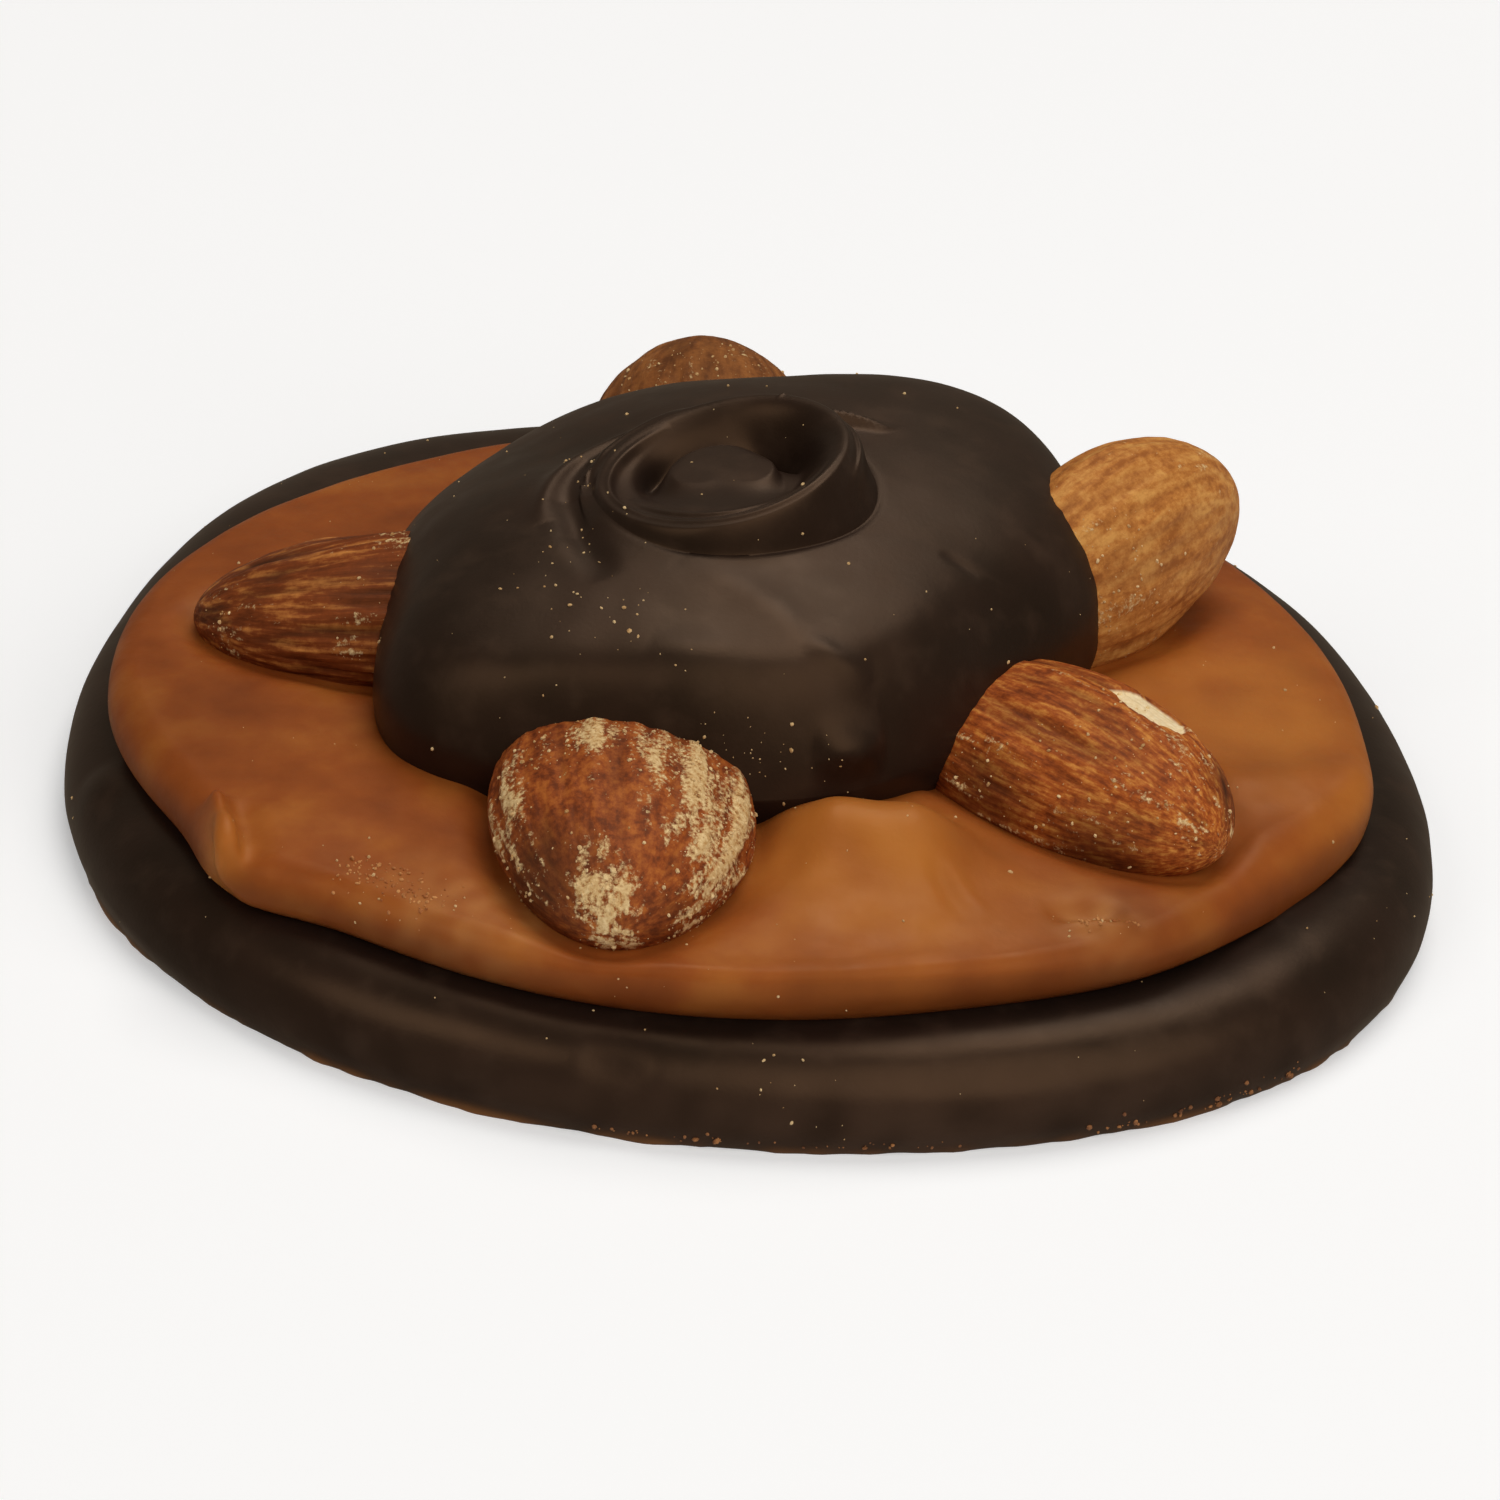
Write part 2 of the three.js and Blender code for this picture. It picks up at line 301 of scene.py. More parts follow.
# Tempered dark chocolate: near-black brown with a soft satin sheen, clouded by a little grey bloom. What was
# moulded is glossier than what was poured, but on the disc its sheen is lowered in a strip beside the
# caramel, which is painted shade. Its thin flash lets light through and looks tan, and its front wall is
# painted lighter in patches, which is painted light.
def darkChocolate(name, smooth, rough, moulded):
    material, add = newMaterial(name)
    place = add("TexCoord").outputs["Object"]
    # cocoa grain is finer than a pixel, so it is drawn at a quarter of a millimetre
    cloud, bloom, grain = [add("TexNoise", {"Vector": place, "Scale": 1 / (size * mm), "Detail": detail})
                           for size, detail in ((6, 4.0), (2.2, 5.0), (0.25, 2.0))]
    tone = add("ValToRGB", [cloud], [(0.35, "18120f"), (0.65, "221814")])
    bloomed = add("MapRange", [bloom, 0.52, 0.8, 0.0, 0.25])
    greyed = add("Mix", {0: bloomed, 6: tone, 7: hexColor("4a3a30")}, data_type="RGBA")
    color, sheen = greyed.outputs[2], 0.42
    if moulded:
        # painted light: the second tint lightens the disc's front wall in patches
        color = tinted(add, color, {"flash": "8a5a30", "scuff": "3f2f26"})
        # painted shade: the sheen drops in a strip of the disc beside the caramel
        dull = add("Attribute", attribute_name="dull").outputs["Fac"]
        sheen = add("MapRange", [dull, 0.0, 1.0, sheen, 0.1])
    finishMaterial(add, {
        "Base Color": color,
        "Roughness": add("MapRange", [bloom, 0.3, 0.7, smooth, rough]),
        "IOR": 1.45,
        "Specular IOR Level": sheen,
        "Specular Tint": hexColor("ffcca0"),
        "Normal": add("Bump", {"Height": grain, "Strength": 0.12, "Distance": 0.05 * mm}),
    })
    return material


# Cream caramel, cooked, poured and set: even toffee brown with a soft gloss and cloudy, slightly
# sugary patches; light sinks in a little, which softens its edges. The lump at the front, the right side
# and a fold are painted lighter and more amber, which is painted light, and the wall under the rim and two
# patches are painted darker, which is painted shade.
def creamCaramel():
    material, add = newMaterial("pouredCreamCaramel")
    place = add("TexCoord").outputs["Object"]
    cloud, smear, skin = [add("TexNoise", {"Vector": place, "Scale": 1 / (size * mm), "Detail": detail})
                          for size, detail in ((5, 5.0), (1.8, 3.0), (0.5, 3.0))]
    tone = add("ValToRGB", [cloud], [(0.3, "7e3e19"), (0.7, "a35f28"), (0.52, "924c1f")])
    finishMaterial(add, {
        # painted light: the first tint lightens lit places; painted shade: the last one darkens the wall and
        # patches
        "Base Color": tinted(add, tone, {"paintedAmberLight": "b4702e", "sugar": "bb8048", "thin": "5c2b10"}),
        "Roughness": add("MapRange", [smear, 0.3, 0.7, 0.36, 0.54]),
        "IOR": 1.49,
        "Specular IOR Level": 0.26,
        "Specular Tint": hexColor("ffd09c"),
        "Subsurface Weight": 0.15,
        "Subsurface Radius": (1.6, 0.6, 0.2),
        "Subsurface Scale": mm,
        "Normal": add("Bump", {"Height": skin, "Strength": 0.2, "Distance": 0.08 * mm}),
    })
    return material


mouldedChocolate = darkChocolate("mouldedDarkChocolate", 0.3, 0.4, True)
pouredChocolate = darkChocolate("pouredDarkChocolate", 0.36, 0.47, False)
caramelSkin = creamCaramel()
print("chocolate and caramel mixed")


# Chocolate disc: flat top, rounded shoulder and a ragged flash at its foot
disc = {
    "center": (0, 0),
    "radius": 37.45,
    "thickness": 5.5,
    "shoulder": 5,
    "roundness": 2.3,
    "girth": 1.5,  # height of the widest line
    "footTuck": 0.5,
    "waves": [(1, 0.27, -168), (2, 0.52, -28), (3, 0.41, -15), (4, 0.74, -45), (5, 0.29, -21)],
    "bulges": [],
    "flashReach": 0.35,
    "flashHeight": 0.25,
    "flashMean": 0.3,  # share of its reach, with the noises below on it
    "flashNoises": [(0.9, 4.5, 1), (0.45, 1.1, 2)],  # height, size, seed
    "flashMost": 1.4,
    "flashTan": 1.2,
    "uneven": [(0.12, 11, 3), (0.05, 3.5, 4)],
    "flatFoot": 1.2,  # up to this height the unevenness fades in
    # the front wall is painted lighter in patches facing this way, fading out upwards: painted light
    "scuffed": (-75, 0.8, 30),  # direction, share, spread
    "paintedFrontLightFade": (2.4, 5),  # between these heights
    "paintedFrontLightPatches": (0.8, 0.7, 2.2, 10),  # mean, spread, size, seed
    "dents": [
        (((-7.4, -35.4, 4), (-3.4, -35.9, 3.5)), -0.25, 0.8),
        (((-34.8, -11.4, 4.6), (-33.7, -14.8, 4.6)), 0.2, 0.9),
    ],
    "sides": 480,
}


def makeDisc():
    topRings, shoulderRings, wallRings, underShares = 26, 40, 14, (0.97, 0.6)
    angle = anglesAround(disc)
    reach = reachAt(disc, angle)
    rings = []
    for share in np.linspace(0.03, 1, topRings, endpoint=False):
        rings.append(polarRing(disc, angle, (reach - disc["shoulder"]) * share, disc["thickness"]))
    for swing in np.linspace(0, math.pi / 2, shoulderRings):
        out = math.sin(swing) ** (2 / disc["roundness"])
        up = max(0, math.cos(swing)) ** (2 / disc["roundness"])
        height = disc["girth"] + (disc["thickness"] - disc["girth"]) * up
        rings.append(polarRing(disc, angle, reach - disc["shoulder"] * (1 - out), height))
    wallStart = 1 + len(rings) * len(angle)
    around = polarRing(disc, angle, disc["radius"], 0)
    ragged = np.clip(unevenAt(around, disc["flashNoises"], disc["flashMean"]), 0, disc["flashMost"])
    flashes = []
    for share in steps(wallRings):
        height = disc["girth"] * (1 - share)
        thin = bell(height, disc["flashHeight"])
        radius = reach - disc["footTuck"] * share ** 2 + disc["flashReach"] * ragged * thin
        rings.append(polarRing(disc, angle, radius, height))
        flashes.append(np.clip(disc["flashTan"] * ragged, 0, 1) * thin)
    foot = rings[-1]
    for share in underShares:
        rings.append(np.column_stack([foot[:, :2] * share, np.zeros(len(angle))]))
    mesh = skinOverRings("mouldedDisc", (0, 0, disc["thickness"]), rings, (0, 0, 0))
    points = pointsOf(mesh)
    flash = np.zeros(len(points))
    flash[wallStart:wallStart + wallRings * len(angle)] = np.concatenate(flashes)
    standing = smoothStep(0, disc["flatFoot"], points[:, 2])
    relief = unevenAt(points, disc["uneven"]) + ridgeHeight(points, disc["dents"], True)
    pushOut(mesh, standing * relief)
    pointValues(mesh, "flash", flash)
    # painted light: a lighter tint on patches of the front wall, fading out upwards
    facing = bulgeAt([disc["scuffed"]], np.arctan2(points[:, 1], points[:, 0]))
    paintedLitShare = patchyShare(points, *disc["paintedFrontLightPatches"]) * (1 - smoothStep(*disc["paintedFrontLightFade"], points[:, 2]))
    pointValues(mesh, "scuff", facing * paintedLitShare)
    return addPiece(mesh, mouldedChocolate)


mouldedDisc = makeDisc()
print("disc:", len(mouldedDisc.data.polygons), "faces")


# Caramel poured on the disc: crisp rim at the front, softer at the sides, squeezed up between the almonds
caramel = {
    "center": (-0.2, -0.9),
    "radius": 32.3,
    "edgeHeight": 3,  # from the disc up to the rim
    "edgeRound": 1.5,  # radius of the rim
    "rimChanges": [(-84, -1.05, 17), (-28, 1.6, 10), (-150, 0.5, 20)],  # sharper and softer stretches
    "rise": 0.9,
    "riseRun": 6,
    "footTuck": 0.9,
    "sink": 0.15,  # into the disc
    "waves": [(1, 1, -112), (2, 1.3, 22), (3, 0.3, -50), (4, 0.35, -9)],
    "bulges": [(-165, 0.6, 14), (-137, 1.9, 5), (-48, 1, 11), (-14, 1.2, 8)],
    "folds": [  # ridges on the top, seen from above
        (((4.6, -21), (8.2, -21)), 2.2, 2.1),
        (((5.2, -24.2), (8, -23.6)), 0.9, 3.2),
        (((-26.4, -25.4), (-27.3, -21.2)), 1.15, 0.48),
        (((-24.9, -25), (-25.9, -21.4)), -0.3, 0.55),
        (((32.3, -7.4), (24, -11)), 0.5, 1.4),
        (((30, -11.3), (26.8, -15), (24.6, -18.8)), 0.2, 0.9),
    ],
    "creases": [  # small marks on the set skin
        (((9.4, -23.4, 10.8), (10.4, -25.2, 10), (11.8, -27.2, 9.2)), -0.2, 0.4),
        (((10.3, -23.2, 10.6), (11.4, -25, 9.8), (12.9, -26.8, 9.2)), 0.16, 0.4),
        (((15.4, -25, 8.9), (19.9, -23.9, 8.7)), -0.6, 0.6),
        (((15.8, -26.1, 8.8), (20.2, -25, 8.6)), 0.5, 0.4),
        (((-8, -33, 8), (0.3, -32.7, 8.1), (5.3, -31.9, 8.3), (13, -28.8, 8.6)), 0.22, 0.4),
        (((1, -26.6, 9.8), (2.6, -22.6, 10.6)), -0.2, 0.9),
        (((-26.7, -22.8, 9.6), (-26.3, -25, 8.4), (-26, -25.6, 6.2)), 0.6, 0.32),
    ],
    "uneven": (0.09, 9, 5),  # height, size, seed
    "fineUneven": (0.03, 2.4, 6),
    "lumpUneven": 0.09,  # added to the fine one on the lump at the front
    "freeFoot": 1,  # up to this height over the disc the relief fades in
    # painted shade: the disc's sheen is lowered in a strip beside the caramel
    "dullRun": (0.6, 2.6),  # beside it the disc is dull, and glossy again this far out
    "paintedShadeSide": (-45, 1, 40),  # direction, share, spread
    "seatDepth": 0.6,  # how far the caramel sinks around the almonds
    "seatRun": 0.8,
    "seatFade": (1, 2.5),  # between these heights over the disc
    # patches of colour: place, spread, share; the lighter, more amber ones are painted light, the first
    # of them on the lump at the front, and the darker ones are painted shade
    "paintedAmberLight": [((6.4, -23.5), 5, 1.0), ((27, -3), 7, 0.85), ((-26.5, -24.4), 1.1, 1.0)],
    "paintedAmberLightPatches": (0.75, 0.5, 3, 12),  # mean, spread, size, seed
    "sugar": [((-15.5, -28.6), 2.4, 0.5), ((-11.3, -29.8), 1.8, 0.55), ((18.2, -24.8), 1.5, 1.0)],
    "sugarPatches": (0.6, 0.8, 1.2, 7),
    # painted shade: darker patches at the left and the front right
    "thin": [((-31, -12), 4.5, 0.32), ((22.5, -24.5), 4, 0.32)],
    "paintedShadeWall": (2, 0.4, 0.52),  # full this far under the rim, gone this far under it, share
    "sides": 640,
}


# The disc's sheen is lowered in a strip beside the caramel, most of all at the front right: painted shade
def paintShadeBesideCaramel():
    away = pointsOf(mouldedDisc.data)[:, :2] - caramel["center"]
    angle = np.arctan2(away[:, 1], away[:, 0])
    outside = np.linalg.norm(away, axis=1) - reachAt(caramel, angle)
    strip = 1 - smoothStep(*caramel["dullRun"], outside)
    pointValues(mouldedDisc.data, "dull", strip * bulgeAt([caramel["paintedShadeSide"]], angle))


def makeCaramel():
    topRings, rimRings, wallRings = 84, 18, 14
    angle = anglesAround(caramel)
    reach = reachAt(caramel, angle)
    edge = caramel["edgeRound"] + bulgeAt(caramel["rimChanges"], angle)
    bed = disc["thickness"]
    rim, foot = bed + caramel["edgeHeight"], bed - caramel["sink"]

    def topRing(radius, inset, drop):
        ring = polarRing(caramel, angle, radius, rim)
        swell = caramel["rise"] * (1 - np.exp(-inset / caramel["riseRun"]))
        ring[:, 2] += swell + ridgeHeight(ring, caramel["folds"]) - drop
        return ring

    rings = [topRing((reach - edge) * share, (reach - edge) * (1 - share), 0)
             for share in np.linspace(0.04, 1, topRings)]
    for swing in steps(rimRings, math.pi / 2):
        rings.append(topRing(reach - edge * (1 - math.sin(swing)), 0 * reach, edge * (1 - math.cos(swing))))
    lowest = rings[-1]
    for share in steps(wallRings):
        height = lowest[:, 2] + (foot - lowest[:, 2]) * share
        rings.append(polarRing(caramel, angle, reach - caramel["footTuck"] * share ** 3, height))
    x, y = caramel["center"]
    mesh = skinOverRings("pouredCaramel", (x, y, rim + caramel["rise"]), rings, (x, y, foot))
    points = pointsOf(mesh)
    paintedAmberLight, sugar, thin = [patchesAt(points, caramel[label]) for label in ("paintedAmberLight", "sugar", "thin")]
    free = smoothStep(bed, bed + caramel["freeFoot"], points[:, 2])
    fine, size, seed = caramel["fineUneven"]
    uneven = unevenAt(points, [caramel["uneven"]])
    uneven += (fine + caramel["lumpUneven"] * paintedAmberLight[0]) * lumps(points, size, seed)
    pushOut(mesh, free * (uneven + ridgeHeight(points, caramel["creases"], True)))
    # painted light: lighter, more amber patches
    pointValues(mesh, "paintedAmberLight", sum(paintedAmberLight) * patchyShare(points, *caramel["paintedAmberLightPatches"]))
    pointValues(mesh, "sugar", sum(sugar) * patchyShare(points, *caramel["sugarPatches"]))
    # painted shade: the wall under the rim and the listed patches get a darker tint
    full, none, share = caramel["paintedShadeWall"]
    wall = share * (1 - smoothStep(rim - full, rim - none, points[:, 2]))
    pointValues(mesh, "thin", np.maximum(wall, sum(thin)))
    return addPiece(mesh, caramelSkin)


paintShadeBesideCaramel()
pouredCaramel = makeCaramel()
print("caramel:", len(pouredCaramel.data.polygons), "faces")


# Dollop of chocolate that holds the almonds, with the swirl that its last drop left on top
dollop = {
    "center": (-2.9, -1.7),
    "radius": 16.9,
    "crown": 20.75,
    "slope": 0.09,  # fall of the top from the crown outwards
    "tilt": (0.05, 0.09),  # rise of the top towards +X and +Y
    "girth": 10.8,
    "footTuck": 1.2,
    "footHeight": 7,
    "waves": [],
    "bulges": [(-137, 4, 16), (-80, 1, 26), (12, 3.8, 14), (45, 5.8, 18), (90, 1.5, 20), (128, 2.6, 24),
               (175, 0.6, 16)],
    "roundness": 3,
    "sideBulges": [(50, 1.4, 18), (145, -1.15, 28)],
    # at the front the top runs out from the swirl to a brow, with a steep wall below
    "brow": {"at": -76, "spread": 48, "start": 8, "height": 19.4, "topSlope": 0.32, "wallSlope": 3.6,
             "softness": 2.2},
    "wrinkles": [  # from the swirl to the brow, seen from above, and a swelling on the wall
        (((-4.6, -9.6), (0.1, -12.3), (2.4, -14.6)), 0.16, 0.8),
        (((2, -14.4), (3.8, -14.9), (5.8, -14.8)), 0.24, 0.5),
        (((-5.8, -15.4), (-3.6, -16.1), (-0.8, -15.8)), 0.12, 0.8),
        (((3, -17.8, 13), (5, -17.2, 12.9), (6.9, -16, 12.6)), 0.8, 0.9),
        (((8.9, -4.8), (11.2, -5.4)), -0.12, 0.25),
        (((-9.9, 0.6), (-10.7, -3.6), (-10.2, -6.9), (-8.4, -11)), -0.6, 0.55),
    ],
    "uneven": [(0.12, 8, 8), (0.04, 2.6, 9)],  # height, size, seed
    "unevenFade": (8, 11),  # fades in between these distances from the middle, outside the swirl
    "sides": 420,
}
swirl = {
    "crestRadius": 6.15,
    "crestHeight": 21.2,  # without the bead on it
    "crestLean": 1.6,  # the crest is this much higher on one side and lower on the other
    "crestHighest": 25,
    "crestBulges": [(-155, 0.5, 30), (-95, 0.75, 45), (25, 0.4, 30), (112, -0.6, 40)],
    "footRadius": 7.1,
    "footBulges": [(-100, 0.5, 28), (0, 1.2, 28)],
    "wallCurve": (1.4, 1.2),  # steep, with a small fillet at its foot
    "innerRun": 2.4,
    "innerCurve": (3, 2),  # rounded lip above, fillet at the dish
    "dish": 20.2,  # height of the floor inside
    "dishLean": 0.14,  # rise of that floor per millimetre, in the direction of the highest crest
    "frontRise": 0.9,  # how far the floor comes up to the front crest, from this far out
    "frontStart": 1.5,
    "buttonCenter": (-0.1, -0.3),  # from the middle of the swirl
    "buttonRadius": 3,
    "buttonHeight": 0.5,
    "buttonEdge": (0.2, 2.4),  # crisp at the back, and this much softer where the front runs out flat
    # dark hollows beside the button: angle, depth, spread, distance from the button's middle, width
    "pockets": [(46, 1.9, 18, 4.4, 0.75), (158, 1.3, 24, 3.8, 0.45)],
    # strands and grooves of the swirl: angles, distances outside the crest, height, width
    "strands": [
        (112, 218, 0.45, 1.2, 0.5, 0.28),
        (104, 204, 0.7, 3.2, 0.55, 0.42),
        (-24, 50, 0.9, 0.5, 0.5, 0.22),
        (-24, 50, 0.5, 0.25, -0.25, 0.18),
        (37, 64, 4.6, 0.15, 0.75, 0.36),
        (128, 236, -0.7, -0.6, 0.2, 0.16),
        (205, 352, -0.6, -0.35, 0.22, 0.15),
        (212, 346, -1.1, -0.9, 0.2, 0.15),
        (206, 338, -1.7, -1.6, 0.16, 0.16),
    ],
    "strandTaper": 0.7,
    "bead": (-0.2, 0.3, 0.5),  # rounded crest: distance outside it, height, width
    "footGroove": (-75, 60, -0.2, 0.15),  # angle, spread, height, width
}


# How far out the swirl's crest lies, and the foot of its outer wall
def crestAt(angle):
    return swirl["crestRadius"] + bulgeAt(swirl["crestBulges"], angle)


def swirlFoot(angle):
    return swirl["footRadius"] + bulgeAt(swirl["footBulges"], angle)


def strandHeight(radius, angle):
    outside = radius - crestAt(angle)
    away, height, width = swirl["bead"]
    total = height * bell(outside - away, width)
    at, spread, height, width = swirl["footGroove"]
    total += bulgeAt([(at, height, spread)], angle) * bell(radius - swirlFoot(angle), width)
    for start, end, startAway, endAway, height, width in swirl["strands"]:
        first, last = math.radians(start), math.radians(end)
        share = np.mod(angle - first, turn) / (last - first)
        on = share < 1
        run = np.where(on, share, 0)
        crest = startAway + (endAway - startAway) * run
        swell = height * np.sin(math.pi * run) ** swirl["strandTaper"]
        total += np.where(on, swell * bell(outside - crest, width), 0)
    return total


# Height of the swirl: a leaning ring with a steep outer wall, around a dish with a button in it
def swirlHeight(radius, angle, plain):
    towards = np.cos(angle - math.radians(swirl["crestHighest"]))
    crest = swirl["crestHeight"] + swirl["crestLean"] * towards
    past = radius - crestAt(angle)
    outward = np.clip(past / (swirlFoot(angle) - crestAt(angle)), 0, 1)
    steep, fillet = swirl["wallCurve"]
    wall = plain + (crest - plain) * (1 - outward ** steep) ** fillet
    middleX, middleY = swirl["buttonCenter"]
    offX, offY = radius * np.cos(angle) - middleX, radius * np.sin(angle) - middleY
    reach, facing = np.hypot(offX, offY), np.arctan2(offY, offX)
    frontward = 0.5 - 0.5 * np.sin(facing)
    crisp, softer = swirl["buttonEdge"]
    edge = crisp + softer * frontward ** 4
    button = swirl["buttonHeight"] * (1 - smoothStep(-edge, edge, reach - swirl["buttonRadius"]))
    hollow = sum(bulgeAt([(at, depth, spread)], facing) * bell(reach - away, width)
                 for at, depth, spread, away, width in swirl["pockets"])
    forward = smoothStep(swirl["frontStart"], swirl["crestRadius"], -radius * np.sin(angle))
    floor = swirl["dish"] + swirl["dishLean"] * radius * towards + swirl["frontRise"] * forward
    floor = floor + button - hollow
    inward = np.clip(-past / swirl["innerRun"], 0, 1)
    lip, fillet = swirl["innerCurve"]
    dish = floor + (crest - floor) * (1 - inward ** lip) ** fillet
    return np.where(past > 0, wall, dish) + strandHeight(radius, angle)


def makeDollop():
    dishRings, wallRings, sideRings, footRings = 84, 34, 84, 10
    angle = anglesAround(dollop)
    reach = reachAt(dollop, angle)
    lean = dollop["tilt"][0] * np.cos(angle) + dollop["tilt"][1] * np.sin(angle) - dollop["slope"]
    roundness = dollop["roundness"] + bulgeAt(dollop["sideBulges"], angle)
    brow = dollop["brow"]
    browed = bulgeAt([(brow["at"], 1, brow["spread"])], angle)

    def topRing(radius):
        share = np.clip(radius / reach, 0, 1)
        fall = np.clip(1 - share ** roundness, 0, 1) ** (1 / roundness)
        plain = dollop["girth"] + (dollop["crown"] + lean * radius - dollop["girth"]) * fall
        roof = brow["height"] - brow["topSlope"] * (radius - brow["start"])
        wall = dollop["girth"] + brow["wallSlope"] * (reach - radius)
        front = roof - brow["softness"] * np.logaddexp(0, (roof - wall) / brow["softness"])
        plain = plain + (front - plain) * browed
        return polarRing(dollop, angle, radius, swirlHeight(radius, angle, plain))

    crest, foot = crestAt(angle), swirlFoot(angle)
    rings = [topRing(crest * share) for share in steps(dishRings)]
    for share in steps(wallRings):
        rings.append(topRing(crest + (foot - crest) * math.sin(share * math.pi / 2)))
    for share in steps(sideRings):
        rings.append(topRing(foot + (reach - foot) * math.sin(share * math.pi / 2)))
    for share in steps(footRings):
        height = dollop["girth"] + (dollop["footHeight"] - dollop["girth"]) * share
        rings.append(polarRing(dollop, angle, reach - dollop["footTuck"] * share ** 2, height))
    x, y = dollop["center"]
    mesh = skinOverRings("chocolateDollop", rings[0].mean(axis=0), rings, (x, y, dollop["footHeight"]))
    points = pointsOf(mesh)
    away = np.linalg.norm(points[:, :2] - dollop["center"], axis=1)
    uneven = smoothStep(*dollop["unevenFade"], away) * unevenAt(points, dollop["uneven"])
    pushOut(mesh, uneven + ridgeHeight(points, dollop["wrinkles"], True))
    return addPiece(mesh, pouredChocolate)


chocolateDollop = makeDollop()
print("dollop:", len(chocolateDollop.data.polygons), "faces")


# Roasted almonds, one tree for all: a ball drawn out to a blunt end and a tip, with lengthwise ridges
almondShape = {
    "Blunt": 0.5,
    "Width taper": 0.56,
    "Thickness taper": 0.5,
    "Bend": 0.3,
    "Ridge stretch": 9.0,  # how much longer than wide the ridges are
    "Dent size": 6.0,
    "Dent depth": 0.35,
    "Girth radius": 5.0,  # mean radius, which turns angles around the almond into millimetres
    "Chip depth": 0.3,
}
almondSegments, almondRings = 220, 150
almondSockets = {
    "Float": [*almondShape, "Length", "Width", "Thickness", "Ridge width", "Ridge depth", "Seed"],
    "Vector": ["Place", "Turn", "Chip place", "Chip size"],
    "Material": ["Skin"],
}


def almondTree():
    tree, add, given = newTree("roastedAlmond", almondSockets)
    ball = add("GeometryNodeMeshUVSphere", {"Segments": almondSegments, "Rings": almondRings, "Radius": 1.0})
    axes = add("SeparateXYZ", [add("GeometryNodeInputPosition")]).outputs
    along = add("Math", [axes["Z"], 0.5, 0.5], operation="MULTIPLY_ADD")
    left = add("Math", [1.0, along], operation="SUBTRACT")
    flat = add("CombineXYZ", [axes["X"], axes["Y"]])
    around = add("VectorMath", [flat], operation="NORMALIZE")
    direction = add("SeparateXYZ", [around]).outputs
    # half width and half thickness at each place along the almond
    halves = []
    for size, taper in (("Width", "Width taper"), ("Thickness", "Thickness taper")):
        both = add("Math", [given["Blunt"], given[taper]], operation="ADD")
        widest = add("Math", [given["Blunt"], both], operation="DIVIDE")
        beyond = add("Math", [1.0, widest], operation="SUBTRACT")
        opened = add("Math", [along, widest], operation="DIVIDE")
        closed = add("Math", [left, beyond], operation="DIVIDE")
        opening = add("Math", [opened, given["Blunt"]], operation="POWER")
        closing = add("Math", [closed, given[taper]], operation="POWER")
        swell = add("Math", [opening, closing], operation="MULTIPLY")
        half = add("Math", [given[size], 0.5], operation="MULTIPLY")
        halves.append(add("Math", [half, swell], operation="MULTIPLY"))
    swing = add("Math", [along, math.pi], operation="MULTIPLY")
    arch = add("Math", [swing], operation="SINE")
    bow = add("Math", [arch, given["Bend"]], operation="MULTIPLY")
    centred = add("Math", [along, 0.5], operation="SUBTRACT")
    plainX = add("Math", [centred, given["Length"]], operation="MULTIPLY")
    plainY = add("Math", [halves[0], direction["X"], bow], operation="MULTIPLY_ADD")
    plainZ = add("Math", [halves[1], direction["Y"]], operation="MULTIPLY")
    plain = add("CombineXYZ", [plainX, plainY, plainZ])
    # place on the unrolled skin: around in the first two numbers, along in the third
    narrowing = add("Math", [swell, 0.6], operation="POWER")
    girth = add("Math", [given["Girth radius"], narrowing], operation="MULTIPLY")
    rolled = add("VectorMath", {0: around, "Scale": girth}, operation="SCALE")
    unrolled = add("SeparateXYZ", [rolled]).outputs
    skin = add("CombineXYZ", [unrolled["X"], unrolled["Y"], plainX])
    slower = add("Math", [plainX, given["Ridge stretch"]], operation="DIVIDE")
    ridgePlace = add("CombineXYZ", [unrolled["X"], unrolled["Y"], slower])
    # ridges and dents, which fade out towards both ends
    noises, heights = [], []
    for place, label, detail in ((ridgePlace, "Ridge width", 2.5), (plain, "Dent size", 1.0)):
        scale = add("Math", [1.0, given[label]], operation="DIVIDE")
        links = {"Vector": place, "W": given["Seed"], "Scale": scale, "Detail": detail}
        noises.append(add("TexNoise", links, noise_dimensions="4D"))
        heights.append(add("Math", [noises[-1], 0.5], operation="SUBTRACT"))
    ridges = add("Math", [heights[0], given["Ridge depth"]], operation="MULTIPLY")
    relief = add("Math", [heights[1], given["Dent depth"], ridges], operation="MULTIPLY_ADD")
    ends = add("Math", [arch, 1.1], operation="POWER")
    faded = add("Math", [relief, ends], operation="MULTIPLY")
    # a chip where the skin came off and the cut flesh shows
    fromChip = add("VectorMath", [plain, given["Chip place"]], operation="SUBTRACT")
    inChips = add("VectorMath", [fromChip, given["Chip size"]], operation="DIVIDE")
    chipAway = add("VectorMath", [inChips], operation="LENGTH").outputs["Value"]
    chipTorn = add("Math", [heights[0], 1.1, chipAway], operation="MULTIPLY_ADD")
    chipIn = add("MapRange", [chipTorn, 0.9, 1.05, 1.0, 0.0])
    chipCut = add("Math", [chipIn, given["Chip depth"]], operation="MULTIPLY")
    height = add("Math", [faded, chipCut], operation="SUBTRACT")
    endY = add("Math", [direction["X"], height, plainY], operation="MULTIPLY_ADD")
    endZ = add("Math", [direction["Y"], height, plainZ], operation="MULTIPLY_ADD")
    end = add("CombineXYZ", [plainX, endY, endZ])
